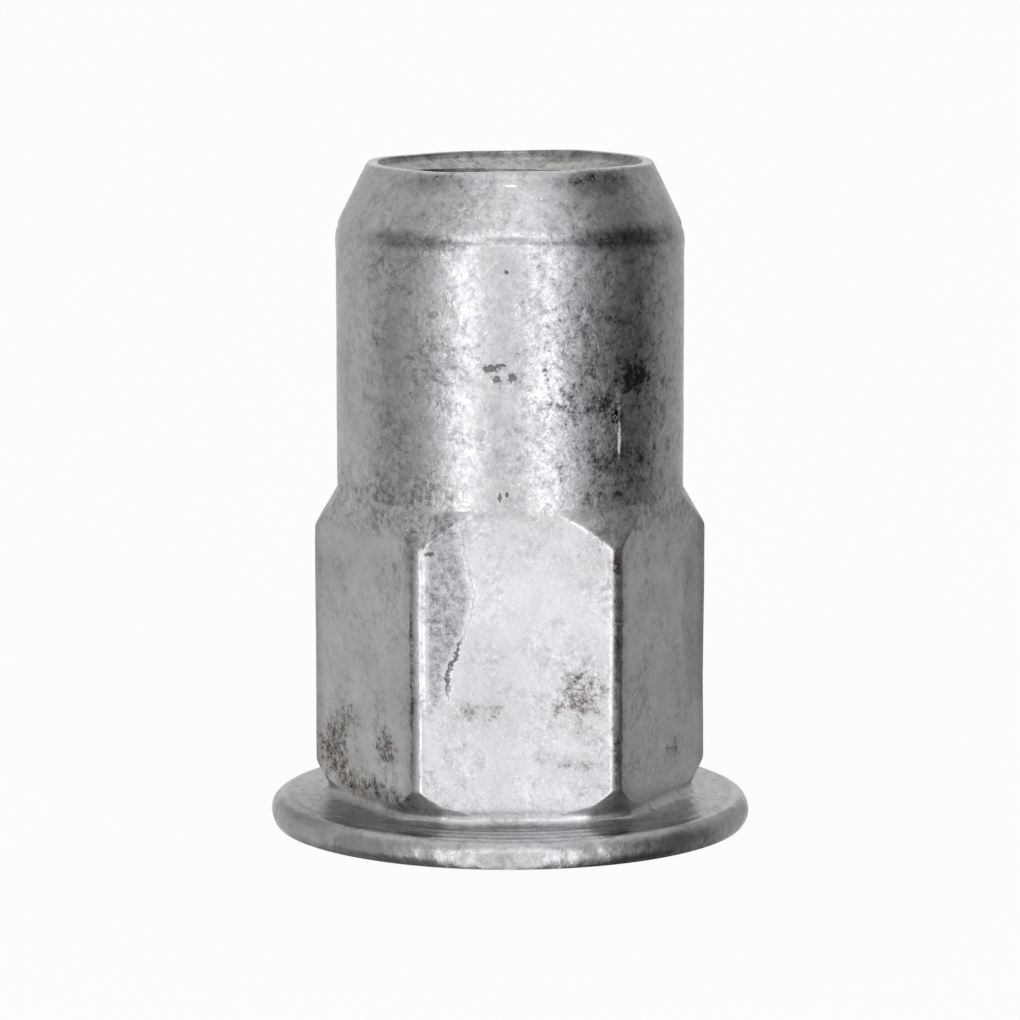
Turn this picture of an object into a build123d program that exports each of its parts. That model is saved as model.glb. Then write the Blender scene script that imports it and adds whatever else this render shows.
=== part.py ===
"""Blind rivet nut, M8, flat head, half-hexagon body, open end.  All sizes in millimetres.

One cold-formed and tapped steel piece.  It stands on the outer face of its head, with its axis along +Z and the
origin at the centre of that face.  From the head up:

  flange    a thin round head with a crowned rim and a flat seat that bears on the sheet
  hexagon   a six-sided body that keys into a six-sided hole, its corners rounded along their length and turned
            down to cones at both ends, with a fillet that follows the six sides onto the seat
  barrel    a round body that holds the thread, with a tapered nose to find the hole
  bore      a wide thin-walled counterbore, which buckles when the nut is set, a drill point, the thread's bore
            at its minor diameter, and a shallow dish at the open end
"""

import os
from math import cos, pi, radians, tan

from build123d import *

# --- Driving dimensions ---------------------------------------------------------------------------------------
total_length = 21.1

flange_diameter = 15.3
flange_thickness = 0.95        # from the outer face to the flat seat
rim_height = 0.78              # height of the rim's upper edge
rim_crown = 0.16               # how far the rim swells past its two edges
rim_slope_width = 0.5          # the rounded band that falls from the flat seat to the rim's upper edge
largest_slope_share = 0.6      # of the ledge between the hexagon's fillet and the rim, on a small head

across_flats = 10.9
corner_radius = 0.45           # along the hexagon's six long edges
hexagon_length = 9.85          # from the seat to the end of the hexagon
hexagon_cone_angle = 30.0      # of the cones that trim the corners, from the axis
neck_relief = 0.16             # how far the lower cone's foot stands out from the flats
seat_fillet = 0.36             # between the six sides and the seat

barrel_diameter = 11.0
nose_diameter = 8.95           # at the open end
nose_angle = 26.5              # of the taper, from the axis
shoulder_radius = 1.6          # where the taper meets the barrel
nose_edge_radius = 0.22

thread_minor_diameter = 6.65   # M8 x 1.25, internal
counterbore_diameter = 9.0
counterbore_depth = 11.2
drill_point_angle = 120.0      # full angle of the cone between the counterbore and the thread
mouth_diameter = 8.2           # of the dish at the open end
mouth_depth = 0.16
entry_chamfer = 0.2            # at the counterbore's edge on the outer face

touching = 1e-4                # closer than this, two things are at the same height

# --- Worked out from them -------------------------------------------------------------------------------------
flange_radius = flange_diameter / 2
flat_radius = across_flats / 2
sharp_corner_radius = flat_radius / cos(pi / 6)
rounded_corner_radius = sharp_corner_radius - corner_radius * (1 / cos(pi / 6) - 1)
barrel_radius = barrel_diameter / 2
nose_radius = nose_diameter / 2
hexagon_top = flange_thickness + hexagon_length
cone_slope = tan(radians(hexagon_cone_angle))
neck_radius = flat_radius + neck_relief
fillet_reach = seat_fillet * tan(radians(45 + hexagon_cone_angle / 2))
fillet_foot_radius = neck_radius + fillet_reach
rim_edge_radius = flange_radius - rim_crown
nose_length = (barrel_radius - nose_radius) / tan(radians(nose_angle))
bore_radius = thread_minor_diameter / 2
counterbore_radius = counterbore_diameter / 2
drill_point_depth = (counterbore_radius - bore_radius) / tan(radians(drill_point_angle / 2))


def turned(*outline):
    """The solid of revolution about Z of a closed outline, given as edges in the XZ plane."""
    return revolve(Plane.XZ * make_face(Wire(outline)), Axis.Z)


def turned_polygon(points, rounded=()):
    """A solid of revolution about Z of (radius, height) points, with the vertices at `rounded` given radii."""
    face = make_face(Polyline(*points, close=True))
    for (x, y), radius in rounded:
        vertex = min(face.vertices(), key=lambda v: (v.X - x) ** 2 + (v.Y - y) ** 2)
        face = fillet(vertex, radius)
    return revolve(Plane.XZ * face, Axis.Z)


def make_flange():
    """The head: a flat outer face, a crowned rim, a rounded band that rises to the seat, and the flat seat.

    On a small head the band narrows, so that part of the ledge outside the hexagon's fillet stays flat.
    """
    widest_band = (rim_edge_radius - fillet_foot_radius) * largest_slope_share
    lower_edge = (rim_edge_radius, 0)
    upper_edge = (rim_edge_radius, rim_height)
    seat_edge = (rim_edge_radius - min(rim_slope_width, widest_band), flange_thickness)
    rim = ThreePointArc(lower_edge, (flange_radius, rim_height / 2), upper_edge)
    slope = TangentArc(seat_edge, upper_edge, tangent=(1, 0))
    return turned(
        Line((0, 0), lower_edge),
        rim,
        slope,
        Line(seat_edge, (0, flange_thickness)),
        Line((0, flange_thickness), (0, 0)),
    )


def make_hexagon():
    """The six-sided body, flats facing -Y and +Y, with its corners rounded and turned down at both ends."""
    prism = extrude(RegularPolygon(sharp_corner_radius, 6), hexagon_length)
    prism = fillet(prism.edges().filter_by(Axis.Z), corner_radius)
    prism = Pos(0, 0, flange_thickness) * prism
    lower_cone_height = (rounded_corner_radius - neck_radius) / cone_slope
    upper_cone_height = (rounded_corner_radius - barrel_radius) / cone_slope
    widest = sharp_corner_radius
    spare = (widest - rounded_corner_radius) / cone_slope
    lower_edge = flange_thickness + lower_cone_height + spare
    upper_edge = hexagon_top - upper_cone_height - spare
    envelope = turned_polygon(
        [
            (0, flange_thickness),
            (neck_radius, flange_thickness),
            (widest, lower_edge),
            (widest, upper_edge),
            (barrel_radius, hexagon_top),
            (0, hexagon_top),
        ]
    )
    return prism & envelope


def make_barrel():
    """The round body and its tapered nose, solid."""
    shoulder = (barrel_radius, total_length - nose_length)
    nose = (nose_radius, total_length)
    return turned_polygon(
        [(0, hexagon_top), (barrel_radius, hexagon_top), shoulder, nose, (0, total_length)],
        rounded=[(shoulder, shoulder_radius), (nose, nose_edge_radius)],
    )


def make_bore():
    """All that is hollow, as one solid: entry chamfer, counterbore, drill point, thread bore and mouth dish."""
    thread_start = counterbore_depth + drill_point_depth
    thread_end = total_length - mouth_depth
    mouth_slope = (mouth_diameter / 2 - bore_radius) / mouth_depth
    overshoot = 0.1
    return turned_polygon(
        [
            (0, -overshoot),
            (counterbore_radius + entry_chamfer + overshoot, -overshoot),
            (counterbore_radius, entry_chamfer),
            (counterbore_radius, counterbore_depth),
            (bore_radius, thread_start),
            (bore_radius, thread_end),
            (mouth_diameter / 2 + overshoot * mouth_slope, total_length + overshoot),
            (0, total_length + overshoot),
        ]
    )


def make_rivet_nut():
    """The whole nut: the outer forms joined, the fillet on the seat, and the bore cut through."""
    outside = make_flange() + make_hexagon()
    foot = [
        edge
        for edge in outside.edges()
        if abs(edge.center().Z - flange_thickness) < touching
        and max(Vector(v.X, v.Y, 0).length for v in edge.vertices()) < fillet_foot_radius
    ]
    outside = fillet(foot, seat_fillet)
    return outside + make_barrel() - make_bore()


os.makedirs("parts", exist_ok=True)
rivet_nut = make_rivet_nut()
rivet_nut.label = "rivet_nut"
export_step(rivet_nut, "parts/rivet_nut.step")
print("rivet_nut", round(rivet_nut.volume, 1), "mm3,", rivet_nut.bounding_box().size)
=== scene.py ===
"""Looks of a blind rivet nut, M8, flat head, half-hexagon body: one dull zinc-coated steel piece.

The piece is one closed mesh of rows and columns.  A column is the nut's whole section at one angle: out
along the outer face, round the rim, over the seat and up the body, over the nose, down the thread and out of
the counterbore.  Sizes are in millimetres, until a vertex or an object is placed.  An angle is measured from
the front flat (-Y) towards +X.  Angles are in degrees, and those of the columns in radians.
"""

from math import atan, atan2, cos, degrees, pi, radians, sin, tan

import bmesh
import bpy
import numpy as np
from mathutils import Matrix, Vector, noise


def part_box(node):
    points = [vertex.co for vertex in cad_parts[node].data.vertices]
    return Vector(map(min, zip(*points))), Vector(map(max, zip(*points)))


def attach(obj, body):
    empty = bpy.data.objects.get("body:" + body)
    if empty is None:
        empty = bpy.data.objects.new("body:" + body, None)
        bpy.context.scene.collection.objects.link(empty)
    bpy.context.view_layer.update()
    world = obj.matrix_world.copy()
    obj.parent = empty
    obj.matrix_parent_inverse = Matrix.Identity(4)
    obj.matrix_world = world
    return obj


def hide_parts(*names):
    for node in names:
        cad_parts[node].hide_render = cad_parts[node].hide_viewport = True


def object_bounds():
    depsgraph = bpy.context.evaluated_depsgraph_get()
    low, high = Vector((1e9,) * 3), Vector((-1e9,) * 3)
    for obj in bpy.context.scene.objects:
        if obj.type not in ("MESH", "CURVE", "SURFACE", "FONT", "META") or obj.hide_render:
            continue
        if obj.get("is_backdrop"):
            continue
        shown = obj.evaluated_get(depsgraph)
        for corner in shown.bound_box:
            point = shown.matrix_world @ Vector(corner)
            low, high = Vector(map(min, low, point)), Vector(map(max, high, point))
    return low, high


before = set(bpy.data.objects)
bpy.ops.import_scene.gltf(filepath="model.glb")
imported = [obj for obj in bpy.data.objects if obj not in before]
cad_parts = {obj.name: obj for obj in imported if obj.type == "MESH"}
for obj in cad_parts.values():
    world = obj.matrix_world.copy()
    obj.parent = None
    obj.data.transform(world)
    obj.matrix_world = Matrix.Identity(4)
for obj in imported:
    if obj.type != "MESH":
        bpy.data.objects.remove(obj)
cad_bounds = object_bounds()
_, high_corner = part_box("rivet_nut")

MM = 0.001

# --- Sizes ------------------------------------------------------------------------------------------------
total_length = high_corner.z / MM
flange_radius = high_corner.x / MM

seat_height = 0.95
rim_height = 0.78
rim_crown = 0.16
rim_slope_width = 0.5
flat_radius = 5.45
corner_reach = 6.2             # from the axis to the middle of a corner
corner_curve = 1.2             # radius of the corner's own curve
corner_softness = 0.035        # of its two edges
corner_width = 0.62            # of the strip that gets the denser columns
neck_radius = flat_radius + 0.16
hexagon_top = seat_height + 9.85
cone_angle = 30                # of the cones that trim the corners, from the axis
cone_slope = tan(radians(cone_angle))
seat_fillet = 0.36
barrel_radius = 5.5
nose_radius = 4.5
nose_angle = 26.5              # of the taper, from the axis
shoulder_radius = 1.6
nose_edge_radius = 0.15
mouth_radius = 4.14            # inside the ring round the open end
ring_edge_radius = 0.07
mouth_wall = 0.2               # height of the ring's inner wall
mouth_floor_radius = 4.0
mouth_depth = 0.5              # where the sloping floor of the dish meets the thread's crest
thread_minor_radius = 3.325
thread_major_radius = 4.0
thread_pitch = 1.25
thread_crest = 0.25            # share of a turn that lies on the minor radius
thread_flank = 0.3125          # share of a turn that each flank takes
counterbore_radius = 4.5
counterbore_depth = 11.2
drill_point_angle = 120        # full angle of the cone between the counterbore and the thread
entry_chamfer = 0.2

# --- How the real piece strays from its drawing -----------------------------------------------------------
step_below_barrel = 0.3        # height over which the middle of a flat steps out to the barrel
edge_softness = 0.05           # of the edges between the flats and the cones
bead_height, bead_swell, bead_spread = 18.6, 0.018, 0.25
groove_height, groove_depth, groove_spread = 19.08, 0.032, 0.09
nose_rise_start = 19.4         # height from which the nose is tilted and waved
nose_tilt = 0.035              # the nose stands this much higher on the right than at its middle
nose_back_rise = 0.05          # and this much higher at the back than at the front
nose_waviness = 0.02
nose_waves = [(3, 0.6, 1.0), (7, 2.1, 0.6)]                # (waves in a turn, phase, share)
dent_sizes = [(3.2, 0.022), (1.1, 0.009), (0.45, 0.004)]   # (how wide, how deep)
dents_start = 0.2              # the dents set in over this height above the outer face
rim_dents = 0.6                # share by which the dents are deeper on the head's rim
rim_dents_start = 7.0          # from the axis
rim_dents_spread = 0.4

# --- Grid -------------------------------------------------------------------------------------------------
columns_per_flat = 46
columns_per_corner = 9
face_rows = 8
crown_rows = 11
slope_rows = 8
seat_rows = 6
fillet_rows = 11
barrel_rows = 36
barrel_end_rows = 5
barrel_end = 0.5               # the length below the shoulder that gets those
shoulder_rows = 17
taper_rows = 18
nose_edge_rows = 8
ring_rows = 6
mouth_wall_rows = 4
mouth_floor_rows = 5
thread_rows_per_turn = 8
drill_point_rows = 5
counterbore_wall_rows = 18

face_end = 0.02                # the outer face stops this far inside the rim's edge
seat_end = 0.03                # and the seat this far inside its own edge
crown_end = 3                  # degrees that the crown stops short of its two edges
slope_end = 2                  # degrees that the slope above it stops short of the rim's upper edge
slope_top = 1                  # and of the seat
ring_end = 175                 # where the curve over the ring ends, in degrees from the outward direction
merge_distance = 1e-8          # metres
sharp_angle = 32               # an edge that turns by more is sharp


def spread(start, end, count):
    """`count` rows from start towards end, without end, where both are one value for each column."""
    steps = np.arange(count)[:, None] / count
    return start + (end - start) * steps


def column_angles():
    """Angles of the columns in radians: evenly over each flat, and denser over each rounded corner."""
    corner_start = atan((flat_radius * tan(pi / 6) - corner_width / 2) / flat_radius)
    flat = np.linspace(-corner_start, corner_start, columns_per_flat, endpoint=False)
    corner = np.linspace(corner_start, pi / 3 - corner_start, columns_per_corner, endpoint=False)
    side = np.concatenate([flat, corner])
    return np.concatenate([side + k * pi / 3 for k in range(6)])


def hexagon_radius(angle):
    """Distance from the axis to the hexagon, whose corners are cut back to a flattish curve."""
    off_flat = np.abs((angle + pi / 6) % (pi / 3) - pi / 6)
    on_flat = flat_radius / np.cos(off_flat)
    off_corner = pi / 6 - off_flat
    curve_centre = corner_reach - corner_curve
    across = np.minimum(curve_centre * np.sin(off_corner), corner_curve)
    on_corner = curve_centre * np.cos(off_corner) + np.sqrt(corner_curve**2 - across**2)
    return np.where(across < corner_width, soft_min(on_flat, on_corner, corner_softness), on_flat)


def soft_min(a, b, softness):
    """The smaller of two lengths, with the corner between them rounded."""
    gap = np.maximum(softness - np.abs(a - b), 0) / softness
    return np.minimum(a, b) - gap**2 * softness / 4


def arc(centre, radius, start, end, count):
    """Rows of (r, z) along a circular arc, in degrees from the outward direction."""
    turn = np.radians(np.linspace(start, end, count))[:, None]
    return centre[0] + radius * np.cos(turn), centre[1] + radius * np.sin(turn)


def flange_rows():
    """Outer face, crowned rim and the rounded band up to the seat."""
    chamfer_edge = counterbore_radius + entry_chamfer
    rim_edge = flange_radius - rim_crown
    half = rim_height / 2
    crown_radius = (half**2 + rim_crown**2) / (2 * rim_crown)
    crown_turn = degrees(atan2(half, crown_radius - rim_crown))
    crown_centre = (flange_radius - crown_radius, half)
    drop = seat_height - rim_height
    slope_radius = (rim_slope_width**2 + drop**2) / (2 * drop)
    slope_turn = degrees(atan2(slope_radius - drop, rim_slope_width))
    slope_centre = (rim_edge - rim_slope_width, seat_height - slope_radius)
    face = spread(np.array([chamfer_edge]), np.array([rim_edge - face_end]), face_rows)
    crown = arc(crown_centre, crown_radius, -crown_turn + crown_end, crown_turn - crown_end, crown_rows)
    slope = arc(slope_centre, slope_radius, slope_turn + slope_end, 90 - slope_top, slope_rows)
    return (
        np.vstack([face, crown[0], slope[0]]),
        np.vstack([face * 0, crown[1], slope[1]]),
    )


def foot_rows(angle):
    """The flat seat, the fillet round the foot of the body, and the height where the fillet ends.

    Where a corner's cone meets the seat, the fillet reaches further than at a flat.
    """
    cone_blend = 0.25
    side = hexagon_radius(angle)
    wall = np.minimum(side, neck_radius)
    on_cone = np.clip((side - neck_radius) / cone_blend, 0, 1)
    reach = seat_fillet * (1 + on_cone * (tan(radians(45 + cone_angle / 2)) - 1))
    rise = reach * (1 + on_cone * (cos(radians(cone_angle)) - 1))
    top_radius = np.minimum(side, neck_radius + rise * cone_slope)
    seat_edge = flange_radius - rim_crown - rim_slope_width
    seat_r = spread(np.full_like(angle, seat_edge - seat_end), wall + reach, seat_rows)
    steps = (np.arange(fillet_rows) / fillet_rows)[:, None]
    fillet_r = (wall + reach) * (1 - steps) ** 2 + wall * 2 * steps * (1 - steps) + top_radius * steps**2
    fillet_z = seat_height + rise * steps**2
    rows_r = np.vstack([seat_r, fillet_r])
    rows_z = np.vstack([seat_r * 0 + seat_height, fillet_z])
    return rows_r, rows_z, seat_height + rise


def body_rows(angle, start):
    """The hexagon between its two cones, with the edges between them and the flats pinned to rows."""
    least = 0.01               # between two rows
    gap = 0.16                 # height beside an edge that gets denser rows
    off_cone = 1.6             # this many heights of the upper cone below the barrel, only the side counts
    side = hexagon_radius(angle)
    lower_edge = np.maximum(seat_height + (side - neck_radius) / cone_slope, start + 2 * least)
    upper_edge = hexagon_top - (side - barrel_radius) / cone_slope
    upper_edge = np.minimum(upper_edge, hexagon_top - step_below_barrel)
    below_edge = np.maximum(lower_edge - gap, start + least)
    stretches = [
        (start, below_edge, 5),
        (below_edge, lower_edge, 2),
        (lower_edge, lower_edge + gap, 3),
        (lower_edge + gap, upper_edge - gap, 30),
        (upper_edge - gap, upper_edge, 3),
        (upper_edge, upper_edge + gap, 3),
        (upper_edge + gap, np.full_like(angle, hexagon_top), 5),
    ]
    heights = np.vstack([spread(low, high, rows) for low, high, rows in stretches])
    lower_cone = neck_radius + (heights - seat_height) * cone_slope
    to_barrel = np.clip((hexagon_top - heights) / (hexagon_top - upper_edge), 0, None)
    upper_cone = barrel_radius + (side - barrel_radius) * to_barrel
    cut_corner = soft_min(upper_cone, side, edge_softness)
    stepped_flat = np.maximum(side, upper_cone)
    upper = np.where(side > barrel_radius, cut_corner, stepped_flat)
    upper = np.where(to_barrel >= off_cone, side, upper)
    return soft_min(upper, lower_cone, edge_softness), heights


def nose_outline():
    """(r, z) rows of the barrel, shoulder, taper, rounded nose edge and the ring round the mouth."""
    taper = radians(nose_angle)
    shoulder_z = total_length - (barrel_radius - nose_radius) / tan(taper)
    barrel_top = shoulder_z - shoulder_radius * tan(taper / 2)
    shoulder_centre = (barrel_radius - shoulder_radius, barrel_top)
    shoulder = arc(shoulder_centre, shoulder_radius, 0, nose_angle, shoulder_rows)
    edge_tangent = nose_edge_radius * tan((pi / 2 - taper) / 2)
    edge_centre = (nose_radius - edge_tangent, total_length - nose_edge_radius)
    edge = arc(edge_centre, nose_edge_radius, nose_angle, 90, nose_edge_rows)
    shoulder_end = (float(shoulder[0][-1, 0]), float(shoulder[1][-1, 0]))
    edge_start = (float(edge[0][0, 0]), float(edge[1][0, 0]))
    barrel_z = spread(np.array([hexagon_top]), np.array([barrel_top - barrel_end]), barrel_rows)
    close_z = spread(np.array([barrel_top - barrel_end]), np.array([barrel_top]), barrel_end_rows)
    taper_steps = (np.arange(1, taper_rows) / taper_rows)[:, None]
    taper_r = shoulder_end[0] + (edge_start[0] - shoulder_end[0]) * taper_steps
    taper_z = shoulder_end[1] + (edge_start[1] - shoulder_end[1]) * taper_steps
    ring_centre = (mouth_radius + ring_edge_radius, total_length - ring_edge_radius)
    ring = arc(ring_centre, ring_edge_radius, 90, ring_end, ring_rows)
    barrel_z = np.vstack([barrel_z, close_z])
    barrel_r = barrel_z * 0 + barrel_radius
    return (
        np.vstack([barrel_r, shoulder[0], taper_r, edge[0], ring[0]]),
        np.vstack([barrel_z, shoulder[1], taper_z, edge[1], ring[1]]),
    )


def thread_depth(turns):
    """How far the thread's groove stands out from the minor radius, for heights counted in turns."""
    part = turns % 1.0
    rising = (part - thread_crest) / thread_flank
    falling = (1 - part) / thread_flank
    return np.clip(np.minimum(rising, falling), 0, 1) * (thread_major_radius - thread_minor_radius)


def cut_rows(radii, heights, limit):
    """Moves all rows past each column's first crossing with a cone onto that crossing.

    `limit` gives the cone's height at a radius, and the rows climb.
    """
    above = heights > limit(radii)
    first = above.argmax(axis=0)
    for column, row in enumerate(first):
        before = heights[row - 1, column] - limit(radii[row - 1, column])
        after = heights[row, column] - limit(radii[row, column])
        share = before / (before - after)
        crossing_r = radii[row - 1, column] + share * (radii[row, column] - radii[row - 1, column])
        crossing_z = heights[row - 1, column] + share * (heights[row, column] - heights[row - 1, column])
        radii[row:, column] = crossing_r
        heights[row:, column] = crossing_z
    return radii, heights


def thread_rows(angle):
    """Rows that climb with the thread, from the top down, cut by the dish and by the drill point."""
    spare_below = 2
    spare_above = 1
    drill_slope = tan(radians(90 - drill_point_angle / 2))
    thread_start = counterbore_depth + (counterbore_radius - thread_minor_radius) * drill_slope
    dish_slope = (mouth_depth - mouth_wall) / (mouth_floor_radius - thread_minor_radius)

    def dish(radius):
        return total_length - mouth_depth + (radius - thread_minor_radius) * dish_slope

    def drill_point_upside_down(radius):
        return (radius - thread_minor_radius) * drill_slope - thread_start

    first_turn = np.floor(counterbore_depth / thread_pitch) - spare_below
    last_turn = np.ceil(total_length / thread_pitch) + spare_above
    rows = int((last_turn - first_turn) * thread_rows_per_turn)
    turns = first_turn + np.arange(rows)[:, None] / thread_rows_per_turn
    heights = (turns + angle / (2 * pi)) * thread_pitch
    radii = thread_minor_radius + thread_depth(turns) + 0 * heights
    radii, heights = cut_rows(radii, heights, dish)
    radii, heights = radii[::-1].copy(), -heights[::-1]
    radii, heights = cut_rows(radii, heights, drill_point_upside_down)
    return radii, -heights


def counterbore_rows(start_r, start_z):
    """The drill's cone, the counterbore and its chamfer."""
    end = np.full_like(start_r, counterbore_radius)
    deepest = np.full_like(start_z, counterbore_depth)
    cone_r = spread(start_r, end, drill_point_rows)[1:]
    cone_z = spread(start_z, deepest, drill_point_rows)[1:]
    wall_z = spread(deepest, np.full_like(start_z, entry_chamfer), counterbore_wall_rows)
    chamfer_r = spread(end, end + entry_chamfer, 2)
    chamfer_z = spread(end * 0 + entry_chamfer, end * 0, 2)
    return (
        np.vstack([cone_r, wall_z * 0 + counterbore_radius, chamfer_r]),
        np.vstack([cone_z, wall_z, chamfer_z]),
    )


def dents_at(x, y, z):
    """The depth of the dents at one point, from three sizes of noise."""
    place = Vector((x, y, z))
    return sum(depth * noise.noise(place / width) for width, depth in dent_sizes)


def uneven(radii, heights, angle):
    """Gives the outside its shallow dents, bead and groove, and tilts and waves the nose's rim."""
    bead = bead_swell * np.exp(-(((heights - bead_height) / bead_spread) ** 2))
    groove = groove_depth * np.exp(-(((heights - groove_height) / groove_spread) ** 2))
    x = radii * np.sin(angle)
    y = -radii * np.cos(angle)
    dents = np.vectorize(dents_at)(x, y, heights)
    on_rim = np.clip((radii - rim_dents_start) / rim_dents_spread, 0, 1)
    above_face = np.clip(heights / dents_start, 0, 1)
    swell = (bead - groove + dents * (1 + rim_dents * on_rim)) * above_face
    on_nose = np.clip((heights - nose_rise_start) / (total_length - nose_rise_start), 0, 1)
    wave = nose_waviness * sum(share * np.sin(count * angle + phase) for count, phase, share in nose_waves)
    tilt = nose_tilt * np.sin(angle) + nose_back_rise * (1 - np.cos(angle)) / 2
    return radii + swell, heights + on_nose * (wave + tilt)


def ring_grid():
    """Each column's angle, each point's radius and height, the first thread row and how many there are."""
    angle = column_angles()
    flat = np.zeros_like(angle)
    flange_r, flange_z = flange_rows()
    foot_r, foot_z, foot_top = foot_rows(angle)
    body_r, body_z = body_rows(angle, foot_top)
    nose_r, nose_z = nose_outline()
    outside_r = np.vstack([flange_r + flat, foot_r, body_r, nose_r + flat])
    outside_z = np.vstack([flange_z + flat, foot_z, body_z, nose_z + flat])
    outside_r, outside_z = uneven(outside_r, outside_z, angle)
    thread_r, thread_z = thread_rows(angle)
    rim_r, rim_z = outside_r[-1], outside_z[-1]
    floor_r = rim_r * 0 + mouth_floor_radius
    floor_z = rim_z * 0 + total_length - mouth_wall
    wall_r = spread(rim_r, floor_r, mouth_wall_rows)[1:]
    wall_z = spread(rim_z, floor_z, mouth_wall_rows)[1:]
    dish_r = np.vstack([wall_r, spread(floor_r, thread_r[0], mouth_floor_rows)])
    dish_z = np.vstack([wall_z, spread(floor_z, thread_z[0], mouth_floor_rows)])
    deep_r, deep_z = counterbore_rows(thread_r[-1], thread_z[-1])
    radii = np.vstack([outside_r, dish_r, thread_r, deep_r])
    heights = np.vstack([outside_z, dish_z, thread_z, deep_z])
    first_thread_row = len(outside_r) + len(dish_r)
    return angle, radii, heights, first_thread_row, len(thread_r)


def grid_faces(rows, columns, first_thread, thread_count):
    """Four vertex numbers for each face.  Past the seam, a thread row goes on as the row one turn up."""
    faces = []
    for row in range(rows):
        below = (row + 1) % rows
        for column in range(columns):
            beside = (column + 1) % columns
            near, far = row, below
            if beside == 0:
                near = seam_row(row, first_thread, thread_count)
                far = seam_row(below, first_thread, thread_count)
            corners = [(row, column), (near, beside), (far, beside), (below, column)]
            faces.append([r * columns + c for r, c in corners])
    return faces


def make_body():
    """The nut's mesh: smooth, without doubled vertices, and with its real edges sharp."""
    angle, radii, heights, first_thread, thread_count = ring_grid()
    x = radii * np.sin(angle) * MM
    y = -radii * np.cos(angle) * MM
    z = heights * MM
    points = np.stack([x, y, z], axis=-1).reshape(-1, 3)
    mesh = bpy.data.meshes.new("rivet_nut_body")
    mesh.from_pydata(points.tolist(), [], grid_faces(*radii.shape, first_thread, thread_count))
    cleaned = bmesh.new()
    cleaned.from_mesh(mesh)
    bmesh.ops.remove_doubles(cleaned, verts=cleaned.verts, dist=merge_distance)
    bmesh.ops.dissolve_degenerate(cleaned, edges=cleaned.edges, dist=merge_distance)
    bmesh.ops.recalc_face_normals(cleaned, faces=cleaned.faces)
    for face in cleaned.faces:
        face.smooth = True
    cleaned.to_mesh(mesh)
    cleaned.free()
    mesh.set_sharp_from_angle(angle=radians(sharp_angle))
    piece = bpy.data.objects.new("rivet_nut_body", mesh)
    bpy.context.scene.collection.objects.link(piece)
    return piece


def seam_row(row, first_thread, thread_count):
    """The row on the first column that meets `row` of the last: one turn up within the thread."""
    if first_thread <= row < first_thread + thread_count:
        return max(row - thread_rows_per_turn, first_thread)
    return row


# --- Material ---------------------------------------------------------------------------------------------
class Graph:
    """Short names for the nodes of one material or world."""

    def __init__(self, owner):
        owner.use_nodes = True
        self.tree = owner.node_tree
        self.tree.nodes.clear()

    def node(self, kind, inputs=(), **settings):
        made = self.tree.nodes.new(kind)
        for name, value in settings.items():
            setattr(made, name, value)
        for key, value in dict(inputs).items():
            self.set(made.inputs[key], value)
        return made

    def set(self, socket, value):
        if isinstance(value, bpy.types.NodeSocket):
            self.tree.links.new(value, socket)
        else:
            socket.default_value = value

    def math(self, operation, *values):
        made = self.node("ShaderNodeMath", enumerate(values), operation=operation)
        return made.outputs[0]

    def add(self, a, b):
        return self.math("ADD", a, b)

    def sub(self, a, b):
        return self.math("SUBTRACT", a, b)

    def mul(self, a, b):
        return self.math("MULTIPLY", a, b)

    def ramp(self, value, low, high, to_low=0.0, to_high=1.0):
        """A smooth step of value from low to high."""
        inputs = {"Value": value, "From Min": low, "From Max": high, "To Min": to_low, "To Max": to_high}
        made = self.node("ShaderNodeMapRange", inputs, interpolation_type="SMOOTHSTEP")
        return made.outputs[0]

    def noise(self, place, scale, detail=3.0, roughness=0.55, distortion=0.0):
        inputs = {
            "Vector": place,
            "Scale": scale,
            "Detail": detail,
            "Roughness": roughness,
            "Distortion": distortion,
        }
        return self.node("ShaderNodeTexNoise", inputs).outputs[0]

    def blend(self, share, a, b, mode="MIX"):
        made = self.node("ShaderNodeMix", data_type="RGBA", blend_type=mode)
        self.set(made.inputs[0], share)
        self.set(made.inputs[6], a)
        self.set(made.inputs[7], b)
        return made.outputs[2]

    def tint(self, amount, colour, shade):
        """Multiplies colour by shade, as far as amount says."""
        return self.blend(amount, colour, shade, "MULTIPLY")


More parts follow.
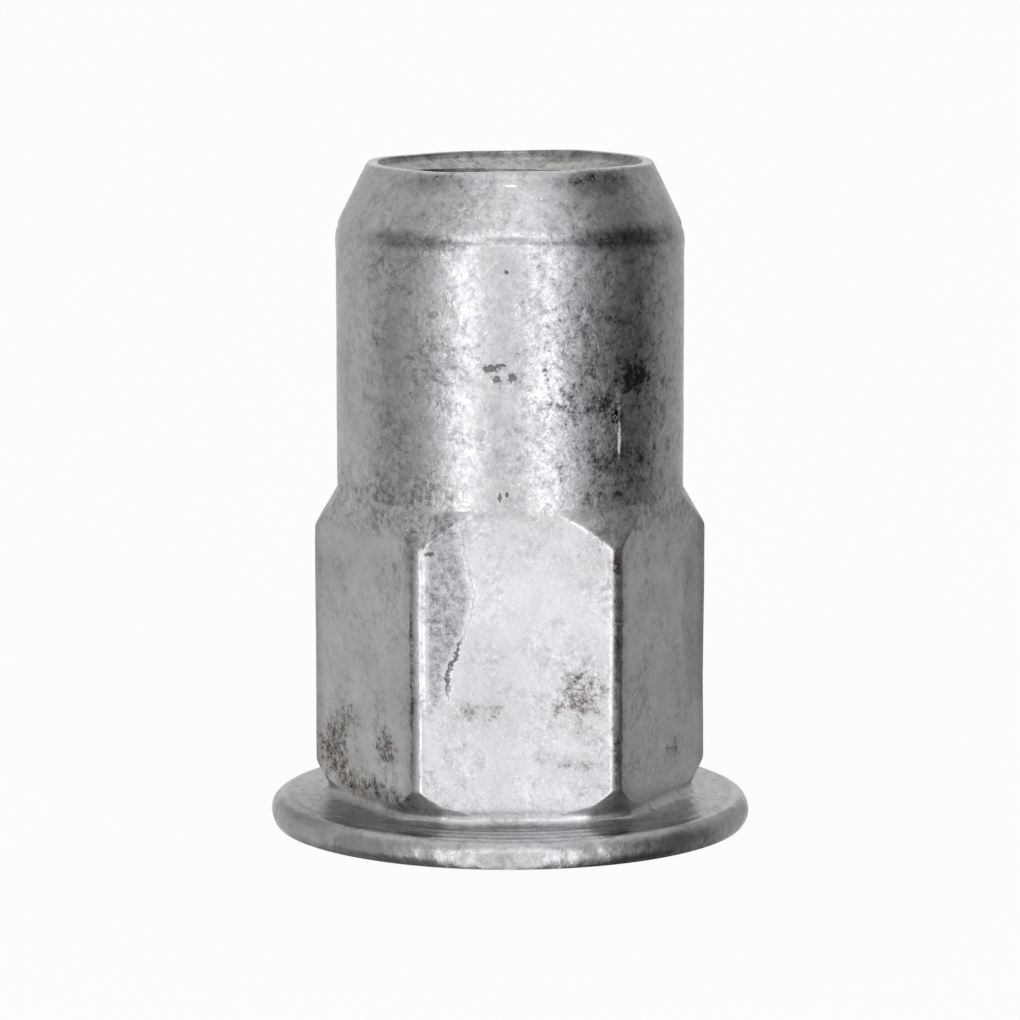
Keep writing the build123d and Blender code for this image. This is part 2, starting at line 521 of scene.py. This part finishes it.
# Marks on the outside: (angle, height, half width along the surface, half height, strength).
# A strength that is left out is 1.
# Stains are grainy, and some are painted shade: the dark band in the groove below the nose,
# and the darkened right corner with dark lines along both corners' edges.
# Shades are soft painted shade, and the worn band is the dull one on the right flat.
stain_and_painted_shade_marks = [
    (34, 14.8, 2.4, 4.2, 0.62),
    (36, 17.3, 2.0, 1.1, 0.45),
    (29, 13.95, 0.5, 0.32, 1.3),
    (35, 13.5, 0.3, 0.7, 1.0),
    (42, 14.75, 0.8, 0.5, 1.3),
    (36, 12.2, 1.6, 1.0, 0.8),
    (33, 11.2, 0.9, 0.14, 0.8),
    (-33, 10.3, 1.7, 0.4, 0.35),
    (34, 10.3, 1.7, 0.4, 0.35),
    (24, 20.1, 1.2, 0.5, 0.35),
    # Painted shade: the dark band in the groove below the nose.
    (-34, 19.0, 1.5, 0.2, 0.45),
    (38, 19.05, 1.9, 0.28, 0.7),
    (-34, 14.5, 1.6, 4.0, 0.22),
    (19.5, 4.9, 0.8, 0.9, 0.85),
    (20.5, 2.9, 0.7, 0.3, 0.6),
    (8, 3.1, 1.0, 0.12, 0.3),
    (-8, 4.6, 0.35, 0.25, 0.7),
    (-15, 4.5, 0.35, 0.3, 0.7),
    # Painted shade: the darkened right corner, and dark lines along both corners' edges.
    (30, 9.2, 0.12, 0.4, 1.4),
    (30, 6.6, 0.1, 1.9, 1.0),
    (30, 3.0, 0.1, 1.2, 0.9),
    (-31.7, 6.0, 0.06, 3.4, 0.75),
    (31.8, 5.0, 0.05, 3.4, 0.75),
    (30, 20.85, 1.3, 0.12, 0.7),
    (-28, 20.85, 1.2, 0.14, 0.6),
    (-78, 2.6, 0.7, 1.0, 1.0),
    (-70, 3.7, 0.6, 0.4, 0.8),
    (-46, 3.1, 0.5, 0.6, 0.95),
    (-60, 1.7, 2.6, 0.35, 0.85),
    (66, 2.7, 0.5, 0.4, 0.6),
    (28, 10.2, 0.6, 0.25, 0.5),
    (160, 6.0, 1.2, 1.4, 0.5),
    (-140, 14.5, 1.6, 1.8, 0.5),
]
# Soft painted shade: in the groove below the nose, along the nose's rim, on the barrel, the seat and the
# flats.
painted_shades = [
    (-36, 19.02, 1.9, 0.24, 0.55),
    (38, 19.05, 2.2, 0.34, 0.95),
    (1, 19.1, 0.9, 0.1, 0.45),
    (33, 20.7, 1.5, 0.3, 0.65),
    (-30, 20.75, 1.8, 0.3, 0.4),
    (46, 15.5, 1.5, 2.6, 0.25),
    (-20, 1.15, 3.6, 0.3, 0.2),
    (-62, 0.95, 2.4, 0.25, 0.6),
    (40, 0.95, 1.2, 0.2, 0.3),
    (-78, 8.6, 0.9, 0.8, 0.15),
    (-38, 5.4, 0.5, 1.8, 0.12),
]
worn_band = (86, 6.9, 1.15, 2.9)
# Pits are dark and sunk.  Scratches are bright.
pits = [
    (-8.5, 15.2, 0.19, 0.1),
    (-5.0, 15.3, 0.12, 0.04),
    (-6.5, 14.85, 0.1, 0.08),
    (-1.5, 14.9, 0.1, 0.1),
    (-3.3, 18.15, 0.05, 0.05),
    (-5.5, 11.2, 0.04, 0.1),
    (-3.2, 11.3, 0.04, 0.06),
    (34.3, 13.75, 0.085, 0.45),
    (-26.3, 9.47, 0.09, 0.05),
    (120, 16.0, 0.12, 0.1),
]
scratches = [
    (35.4, 12.85, 0.058, 0.5),
    (-2, 20.7, 0.22, 0.035),
    (-18, 11.25, 0.07, 0.2),
    (-16.2, 11.0, 0.2, 0.05),
    (-17.5, 10.8, 0.18, 0.05),
    (-140, 13.0, 0.4, 0.04),
]

# Edge of the metal lapped over the left of the front flat: (height, distance right of the flat's middle).
lap_points = [
    (1.0, -2.9),
    (4.2, -1.4),
    (4.8, -2.0),
    (5.7, -2.1),
    (6.4, -1.85),
    (7.4, -1.48),
    (8.1, -1.32),
    (8.9, -1.5),
    (10.6, -1.8),
]
lap_reach = 3.0                # further to the left than any of them

# The zinc's own colour, from darker to lighter, and the white of its scratches and painted glints.
zinc_dark = (0.655, 0.654, 0.665, 1)
zinc_light = (0.755, 0.755, 0.775, 1)
white = (1.0, 1.0, 1.0, 1)

# What multiplies that colour in each kind of mark.
mottle_shade = (0.58, 0.575, 0.58, 1)
crinkle_shade = (0.55, 0.55, 0.56, 1)
speckle_shade = (0.40, 0.39, 0.38, 1)
# The haze and stain colours also paint shade, where a stain is painted shade.
hexagon_haze_shade = (0.66, 0.63, 0.60, 1)
barrel_haze_shade = (0.50, 0.50, 0.53, 1)
hexagon_stain_and_painted_shade = (0.30, 0.27, 0.24, 1)
barrel_stain_and_painted_shade = (0.15, 0.15, 0.16, 1)
# Painted shade, for the soft shades.
painted_shade_tint = (0.30, 0.30, 0.31, 1)
worn_shade = (0.72, 0.70, 0.73, 1)
# Painted shade beside the hexagon's corners.
corner_painted_shade = (0.72, 0.715, 0.71, 1)
# Painted light on the flat that faces the camera.
front_flat_painted_light = (1.12, 1.12, 1.125, 1)
lap_shade = (0.36, 0.36, 0.38, 1)
crack_shade = (0.3, 0.3, 0.3, 1)
pit_shade = (0.22, 0.22, 0.22, 1)
# Painted shade on the seat, inside the ring round the mouth and in the crease at the body's foot.
seat_painted_shade = (0.60, 0.585, 0.57, 1)
mouth_painted_shade = (0.40, 0.39, 0.38, 1)
foot_painted_shade = (0.4, 0.39, 0.37, 1)

bump_strength = 0.9
bump_distance = 0.013


class Nut:
    """Where a point lies on the nut, and how much it has of each kind of mark, as sockets of one graph."""

    def __init__(self, g):
        self.find_place(g)
        self.make_noises(g)
        self.find_parts(g)
        self.worked = worked_share(g, self)
        self.haze, self.stain_and_painted_shade = stain_and_painted_shade_shares(g, self)
        self.lapped, self.dulled, self.crack = lap_shares(g, self)
        self.pitted = marks(g, self, self.fray, pits, ragged=4.0, soft=0.6)
        self.scratched = marks(g, self, self.fray, scratches, ragged=2.0, soft=0.35)

    def find_place(self, g):
        """The place, its angle from the front flat, its height, and its distance from the axis."""
        place = g.node("ShaderNodeTexCoord").outputs["Object"]
        to_mm = {0: place, 1: (1 / MM,) * 3}
        self.place = g.node("ShaderNodeVectorMath", to_mm, operation="MULTIPLY").outputs[0]
        parts = g.node("ShaderNodeSeparateXYZ", {0: self.place}).outputs
        self.angle = g.math("DEGREES", g.math("ARCTAN2", parts[0], g.mul(parts[1], -1.0)))
        self.beside = g.math("ABSOLUTE", self.angle)
        self.height = parts[2]
        self.out = g.math("SQRT", g.add(g.mul(parts[0], parts[0]), g.mul(parts[1], parts[1])))

    def make_noises(self, g):
        """From cloudy to fine, and the two that make the edges of marks uneven."""
        self.cloud = g.noise(self.place, 0.5, 4.0, 0.6, 0.4)
        self.mottle = g.noise(self.place, 2.2, 7.0, 0.72, 0.4)
        self.crinkle = g.noise(self.place, 5.0, 7.0, 0.72, 0.35)
        self.speckle = g.noise(self.place, 9.0, 4.0, 0.72, 0.5)
        self.wobble = g.noise(self.place, 3.2, 5.0, 0.75)
        self.fray = g.noise(self.place, 11.0, 3.0, 0.7)

    def find_parts(self, g):
        """1 on a part and 0 off it: barrel with nose, head beside the body, the head's rim, front flat."""
        self.round_part = g.ramp(self.height, hexagon_top - 0.5, hexagon_top + 0.5)
        self.seat = g.mul(g.ramp(self.height, 1.25, 0.98), g.ramp(self.out, 5.9, 6.3))
        self.rim = g.ramp(self.out, 7.05, 7.35)
        above = g.ramp(self.height, 1.3, 1.5)
        below = g.ramp(self.height, hexagon_top - 0.1, hexagon_top - 0.4)
        self.front_flat = g.mul(g.ramp(self.beside, 28.2, 27.2), g.mul(above, below))


def mark(g, nut, edge, where, ragged, soft):
    """1 inside an oval on the outside and 0 outside it.  The noise `edge` makes its edge uneven."""
    middle, level, half_width, half_height = where[:4]
    across = g.mul(g.sub(nut.angle, middle), radians(1) * barrel_radius / half_width)
    up = g.mul(g.sub(nut.height, level), 1 / half_height)
    away = g.math("SQRT", g.add(g.mul(across, across), g.mul(up, up)))
    away = g.add(away, g.mul(g.sub(edge, 0.5), ragged))
    return g.ramp(away, 1 + soft, 1 - soft)


def marks(g, nut, edge, places, ragged, soft):
    """The strongest of several marks at each point."""
    total = 0.0
    for where in places:
        strength = where[4] if len(where) > 4 else 1.0
        shown = g.mul(mark(g, nut, edge, where, ragged, soft), strength)
        total = g.math("MAXIMUM", total, shown)
    return total


def worked_share(g, nut):
    """How mottled the zinc is: most on the barrel and upper cone, less in the middle and at the sides."""
    share = g.ramp(g.noise(nut.place, 0.9, 3.0, 0.6), 0.42, 0.62)
    share = g.add(g.mul(share, 0.55), g.mul(nut.round_part, 0.35))
    sides = g.mul(g.ramp(nut.beside, 48, 60), g.ramp(nut.beside, 120, 96, 0.0, 0.5))
    share = g.mul(share, g.sub(1.0, sides))
    share = g.mul(share, g.ramp(nut.beside, 10, 28, 0.7, 1.0))
    up_to_cone = g.ramp(nut.height, hexagon_top - 1.4, hexagon_top - 0.6)
    down_to_cone = g.ramp(nut.height, hexagon_top + 1.0, hexagon_top + 0.2)
    coned = g.mul(g.mul(up_to_cone, down_to_cone), g.ramp(nut.beside, 16, 28))
    return g.add(share, g.mul(coned, 0.6))


def stain_and_painted_shade_shares(g, nut):
    """The stains' soft haze, and the dark grains that break up within it, both painted shade where a stain
    is.
    """
    stain_and_painted_shade = marks(g, nut, nut.wobble, stain_and_painted_shade_marks, ragged=3.4, soft=0.8)
    haze = g.mul(stain_and_painted_shade, g.ramp(nut.mottle, 0.62, 0.40, 0.25, 1.0))
    broken = g.add(g.mul(nut.crinkle, 0.4), g.add(g.mul(nut.fray, 0.35), g.mul(nut.mottle, 0.25)))
    grains = g.ramp(g.add(g.mul(stain_and_painted_shade, 0.38), g.mul(g.sub(0.5, broken), 1.9)), 0.17, 0.47)
    return haze, grains


def past_lap(g, nut):
    """Millimetres to the right of the lap's edge, on the front flat."""
    lowest, highest = lap_points[0][0], lap_points[-1][0]
    curve = g.node("ShaderNodeFloatCurve")
    line = curve.mapping.curves[0]
    while len(line.points) < len(lap_points):
        line.points.new(0.5, 0.5)
    for point, (level, across) in zip(line.points, lap_points):
        point.location = ((level - lowest) / (highest - lowest), -across / lap_reach)
    curve.mapping.update()
    span = {"Value": nut.height, "From Min": lowest, "From Max": highest}
    g.set(curve.inputs[1], g.node("ShaderNodeMapRange", span).outputs[0])
    across = g.mul(g.math("TANGENT", g.math("RADIANS", nut.angle)), flat_radius)
    across = g.add(across, g.mul(g.sub(nut.wobble, 0.5), 0.5))
    return g.add(across, g.mul(curve.outputs[0], lap_reach))


def lap_shares(g, nut):
    """The lapped metal on the front flat, its dulled part, and the crack along its edge."""
    past = past_lap(g, nut)
    lapped = g.mul(g.mul(nut.front_flat, g.ramp(past, 0.12, -0.08)), g.ramp(nut.height, 4.2, 5.2))
    dulled = g.mul(lapped, g.mul(g.ramp(past, 0.0, -0.35), g.ramp(nut.height, 4.6, 6.0, 0.45, 0.95)))
    uneven_part = g.mul(g.ramp(nut.angle, -27.3, -25.5), g.ramp(nut.crinkle, 0.34, 0.62, 1.0, 0.45))
    dulled = g.mul(dulled, uneven_part)
    off_edge = g.add(g.math("ABSOLUTE", past), g.mul(nut.fray, 0.16))
    crack = g.mul(nut.front_flat, g.ramp(off_edge, 0.16, 0.08))
    crack = g.mul(crack, g.mul(g.ramp(nut.height, 4.7, 5.6), g.ramp(nut.height, 7.0, 6.5)))
    crack = g.mul(crack, g.ramp(nut.fray, 0.66, 0.45, 0.2, 1.0))
    return lapped, dulled, crack


def bare_zinc(g, nut):
    """The zinc's own mottled grey."""
    colour = g.blend(g.ramp(nut.cloud, 0.35, 0.68), zinc_dark, zinc_light)
    mottled = g.mul(g.ramp(nut.mottle, 0.60, 0.34), g.add(g.mul(nut.worked, 0.7), 0.15))
    colour = g.tint(mottled, colour, mottle_shade)
    crinkled = g.mul(g.ramp(nut.crinkle, 0.56, 0.35), g.add(nut.worked, 0.12))
    colour = g.tint(crinkled, colour, crinkle_shade)
    return g.tint(g.mul(g.ramp(nut.speckle, 0.36, 0.26), 0.5), colour, speckle_shade)


def stained_zinc_with_painted_shade(g, nut, colour):
    """Adds stains (brown on the hexagon, grey on the barrel, some of them painted shade), soft painted shade
    and the worn band.
    """
    colour = g.tint(nut.haze, colour, g.blend(nut.round_part, hexagon_haze_shade, barrel_haze_shade))
    colour = g.tint(nut.stain_and_painted_shade, colour, g.blend(nut.round_part, hexagon_stain_and_painted_shade, barrel_stain_and_painted_shade))
    # Painted shade, soft, from the list of shades.
    painted_shade = marks(g, nut, nut.wobble, painted_shades, ragged=0.9, soft=0.75)
    colour = g.tint(painted_shade, colour, painted_shade_tint)
    worn = mark(g, nut, nut.wobble, worn_band, ragged=0.8, soft=0.2)
    return g.tint(g.mul(worn, 0.75), colour, worn_shade)


def shade_beside_corners(g, nut, colour):
    """Painted shade: darkens the hexagon beside its corners, but not on the front flat."""
    above = g.ramp(nut.height, 1.2, 1.5)
    below = g.ramp(nut.height, hexagon_top - 0.3, hexagon_top - 0.8)
    from_corner = g.math("ABSOLUTE", g.sub(g.math("FLOORED_MODULO", nut.angle, 60.0), 30.0))
    near_corner = g.mul(g.ramp(from_corner, 7.5, 1.5), g.ramp(nut.beside, 29.5, 31))
    near_corner = g.mul(near_corner, g.mul(above, below))
    return g.tint(g.mul(near_corner, g.ramp(nut.wobble, 0.35, 0.6, 1.0, 0.6)), colour, corner_painted_shade)


def marked_zinc(g, nut, colour):
    """Adds painted light on the front flat, its lap and crack, and the pits, painted glints and scratches.
    """
    colour = g.tint(nut.front_flat, colour, front_flat_painted_light)
    colour = g.tint(nut.dulled, colour, lap_shade)
    colour = g.tint(g.mul(nut.crack, 0.85), colour, crack_shade)
    colour = g.tint(g.mul(nut.pitted, 0.8), colour, pit_shade)
    # Painted glints: white flecks, strongest on the front.
    painted_glints = g.mul(g.ramp(nut.fray, 0.60, 0.70), g.ramp(nut.mottle, 0.42, 0.55, 0.2, 0.9))
    colour = g.blend(g.mul(painted_glints, g.ramp(nut.beside, 50, 30, 0.1, 1.0)), colour, white)
    return g.blend(nut.scratched, colour, white)


def shaded_recesses(g, nut, colour):
    """Painted shade: darkens the seat, the inside of the ring round the mouth, and the foot of the body."""
    colour = g.tint(g.mul(nut.seat, g.sub(0.9, g.mul(nut.rim, 0.45))), colour, seat_painted_shade)
    near_top = g.ramp(nut.height, total_length - 1.0, total_length - 0.5)
    mouth = g.mul(g.mul(near_top, g.ramp(nut.out, 4.3, 4.12)), g.ramp(nut.out, 3.98, 4.08, 0.35, 1.0))
    colour = g.tint(g.mul(mouth, g.ramp(nut.mottle, 0.4, 0.6, 1.0, 0.75)), colour, mouth_painted_shade)
    foot = g.mul(g.ramp(nut.height, 1.1, 0.99), g.ramp(nut.out, 6.45, 6.1))
    return g.tint(g.mul(foot, g.ramp(nut.wobble, 0.35, 0.6, 0.1, 0.6)), colour, foot_painted_shade)


def roughness(g, nut):
    """Rougher in stains, scratches and the darker mottles, and a little smoother on the head's rim."""
    rough = g.add(g.ramp(nut.mottle, 0.3, 0.7, 0.26, 0.18), g.mul(nut.stain_and_painted_shade, 0.15))
    rough = g.add(rough, g.ramp(nut.crinkle, 0.35, 0.6, 0.08, -0.04))
    rough = g.add(rough, g.mul(nut.scratched, 0.3))
    return g.sub(rough, g.mul(nut.rim, 0.06))


def relief(g, nut):
    """The fine relief: crinkled zinc, turning marks on the seat, a wavy rim, and the depth of the marks."""
    rings = g.mul(g.math("SINE", g.mul(nut.out, 13.0)), g.mul(nut.seat, 0.6))
    height = g.add(g.mul(nut.crinkle, g.add(g.mul(nut.worked, 1.1), 0.5)), g.mul(nut.speckle, 0.35))
    height = g.add(g.add(height, g.mul(nut.mottle, 0.6)), rings)
    height = g.add(height, g.mul(g.noise(nut.place, 0.9, 2.0, 0.5), g.mul(nut.rim, 7.0)))
    height = g.sub(height, g.mul(nut.pitted, 2.5))
    height = g.sub(height, g.mul(nut.scratched, 0.6))
    height = g.add(height, g.mul(nut.lapped, 2.0))
    return g.sub(height, g.mul(nut.crack, 2.5))


def zinc():
    """Dull zinc on steel: mottled grey with stains, a lap, pits, scratches, and painted shade, light and
    glints.
    """
    material = bpy.data.materials.new("plated_steel")
    g = Graph(material)
    nut = Nut(g)
    colour = bare_zinc(g, nut)
    for add_to in (stained_zinc_with_painted_shade, shade_beside_corners, marked_zinc, shaded_recesses):
        colour = add_to(g, nut, colour)
    looks = {"Metallic": 1.0, "Base Color": colour, "Roughness": roughness(g, nut)}
    shader = g.node("ShaderNodeBsdfPrincipled", looks)
    depth = {"Strength": bump_strength, "Distance": bump_distance * MM, "Height": relief(g, nut)}
    g.set(shader.inputs["Normal"], g.node("ShaderNodeBump", depth).outputs[0])
    g.set(g.node("ShaderNodeOutputMaterial").inputs[0], shader.outputs[0])
    return material


# --- Studio -----------------------------------------------------------------------------------------------
camera_turn = -2.2             # where the camera stands, from the front
camera_distance = 146.94       # from the axis
camera_height = 32.218
camera_pitch = 8.594367        # down from level
camera_lens = 164.8
camera_sensor = 36
camera_clip = 5                # nearer than this, nothing is seen

box_distance = 260             # of the soft box in front, from the axis
box_height = 190
box_width = 220
box_tall = 90
box_brightness = 0.5           # what a mirror would show
box_aim = 10.5                 # the height on the axis that it looks at

floor_half = 1200
floor_colour = (0.9, 0.9, 0.9, 1)
floor_white = 0.94             # how much of what the camera sees of the floor is plain white

# What stands round the table, as the metal reflects it: (angle to the right of the camera, brightness).
studio_round = [
    (-180, 0.8),
    (-170, 0.7),
    (-155, 0.5),
    (-102, 0.55),
    (-96, 0.34),
    (-72, 0.36),
    (-45, 0.66),
    (-22, 0.93),
    (22, 0.93),
    (38, 0.72),
    (56, 0.38),
    (78, 0.11),
    (103, 0.11),
    (109, 0.31),
    (128, 0.37),
    (155, 0.42),
    (170, 0.7),
    (180, 0.8),
]
brightest_round = 1.25         # at least as bright as the brightest of them
strips = [(-31, 5, 1.75), (24, 5, 1.65)]   # two tall soft boxes: (angle, half width, extra brightness)
strip_edge = 2                 # half the width over which their sides fade
strip_top = 24                 # how high they reach, in degrees
strip_fade = 14                # and how much further up they fade
overhead_brightness = 0.95
overhead_start = 22            # in degrees above level
overhead_full = 85
shade_below = 0.65             # share by which the table is darker, away from the camera's side
shade_start = -18              # in degrees above level
shade_full = -45
shade_front = 0.1              # share of that shade on the camera's side
shade_front_end = 20           # in degrees to either side of the camera
shade_sides_start = 55
front_light = (0.985, 0.985, 1.0, 1)       # the studio's colour in front of the nut
side_light = (1.0, 0.99, 0.965, 1)         # and beside and behind it
front_light_end = 40           # in degrees to either side of the camera
side_light_start = 100


def make_camera():
    data = bpy.data.cameras.new("camera")
    data.lens = camera_lens
    data.sensor_width = camera_sensor
    data.clip_start = camera_clip * MM
    camera = bpy.data.objects.new("camera", data)
    camera.location = at(camera_turn, camera_distance, camera_height)
    camera.rotation_euler = (radians(90 - camera_pitch), 0, radians(camera_turn))
    bpy.context.scene.collection.objects.link(camera)
    bpy.context.scene.camera = camera


def at(turn, distance, height):
    """A place round the axis, at an angle from the front, in metres."""
    return Vector((sin(radians(turn)) * distance, -cos(radians(turn)) * distance, height)) * MM


def make_front_box():
    """A rectangular soft box above and behind the camera, which looks at the nut."""
    data = bpy.data.lights.new("front_box", "AREA")
    data.shape = "RECTANGLE"
    data.size = box_width * MM
    data.size_y = box_tall * MM
    data.energy = box_brightness * pi * data.size * data.size_y
    lamp = bpy.data.objects.new("front_box", data)
    lamp.location = at(camera_turn, box_distance, box_height)
    towards = Vector((0, 0, box_aim * MM)) - lamp.location
    lamp.rotation_euler = towards.to_track_quat("-Z", "Y").to_euler()
    bpy.context.scene.collection.objects.link(lamp)


def make_floor():
    """A wide pale floor, shown near white, that keeps the object's shadow."""
    mesh = bpy.data.meshes.new("floor")
    half = floor_half * MM
    corners = [(-half, -half, 0), (half, -half, 0), (half, half, 0), (-half, half, 0)]
    mesh.from_pydata(corners, [], [(0, 1, 2, 3)])
    floor = bpy.data.objects.new("floor", mesh)
    bpy.context.scene.collection.objects.link(floor)
    material = bpy.data.materials.new("floor")
    g = Graph(material)
    diffuse = g.node("ShaderNodeBsdfDiffuse", {"Color": floor_colour}).outputs[0]
    plain_white = g.node("ShaderNodeEmission", {"Color": white, "Strength": 1.0}).outputs[0]
    path = g.node("ShaderNodeLightPath").outputs
    shown = g.mul(path["Is Camera Ray"], floor_white)
    mixed = g.node("ShaderNodeMixShader", {0: shown, 1: diffuse, 2: plain_white}).outputs[0]
    g.set(g.node("ShaderNodeOutputMaterial").inputs[0], mixed)
    mesh.materials.append(material)
    floor.visible_glossy = False
    floor.visible_shadow = False
    floor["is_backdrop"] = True


def round_about(g, turn, rise):
    """The studio's brightness at one level: what stands round the table, with the two soft boxes."""
    stops = g.node("ShaderNodeValToRGB")
    band = stops.color_ramp.elements
    while len(band) < len(studio_round):
        band.new(0.5)
    for stop, (angle, brightness) in zip(band, studio_round):
        stop.position = (angle + 180) / 360
        stop.color = (brightness / brightest_round,) * 3 + (1,)
    g.set(stops.inputs[0], g.add(g.mul(turn, 1 / 360), 0.5))
    brightness = g.mul(stops.outputs[0], brightest_round)
    for angle, half_width, extra in strips:
        off = g.math("ABSOLUTE", g.sub(turn, angle))
        within = g.ramp(off, half_width + strip_edge, half_width - strip_edge)
        seen = g.mul(within, g.ramp(rise, strip_top + strip_fade, strip_top))
        brightness = g.add(brightness, g.mul(seen, extra))
    return brightness


def studio(g):
    """The colour and the brightness of what the metal sees each way, darker below and even overhead."""
    way = g.node("ShaderNodeTexCoord").outputs["Generated"]
    parts = g.node("ShaderNodeSeparateXYZ", {0: way}).outputs
    turn = g.math("DEGREES", g.math("ARCTAN2", parts[0], g.mul(parts[1], -1.0)))
    turn = g.sub(turn, camera_turn)
    beside = g.math("ABSOLUTE", turn)
    rise = g.math("DEGREES", g.math("ARCSINE", parts[2]))
    away = g.ramp(beside, shade_front_end, shade_sides_start, shade_front, 1.0)
    low = g.mul(g.ramp(rise, shade_start, shade_full, 0.0, shade_below), away)
    top = g.ramp(rise, overhead_start, overhead_full)
    brightness = g.mul(round_about(g, turn, rise), g.sub(1.0, low))
    brightness = g.add(g.mul(brightness, g.sub(1.0, top)), g.mul(top, overhead_brightness))
    colour = g.blend(g.ramp(beside, front_light_end, side_light_start), front_light, side_light)
    return colour, brightness


def make_world():
    """White where the camera looks past the object, and in reflections a studio that differs all round."""
    world = bpy.data.worlds.new("studio")
    world.cycles.sampling_method = "MANUAL"
    world.cycles.sample_map_resolution = 1024
    bpy.context.scene.world = world
    g = Graph(world)
    colour, brightness = studio(g)
    seen = g.node("ShaderNodeBackground", {"Color": colour, "Strength": brightness}).outputs[0]
    plain_white = g.node("ShaderNodeBackground", {"Color": white, "Strength": 1.0}).outputs[0]
    path = g.node("ShaderNodeLightPath").outputs
    mixed = g.node("ShaderNodeMixShader", {0: path["Is Camera Ray"], 1: seen, 2: plain_white}).outputs[0]
    g.set(g.node("ShaderNodeOutputWorld").inputs[0], mixed)


# --- Build ------------------------------------------------------------------------------------------------
body = make_body()
body.data.materials.append(zinc())
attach(body, "root")
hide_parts("rivet_nut")

make_floor()
make_world()
make_front_box()
make_camera()
bpy.context.scene.view_settings.view_transform = "Standard"


def plain(value):
    """Numbers as plain lists."""
    return [plain(part) for part in value] if hasattr(value, "__len__") else float(value)


{"cad": plain(cad_bounds), "visual": plain(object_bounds())}
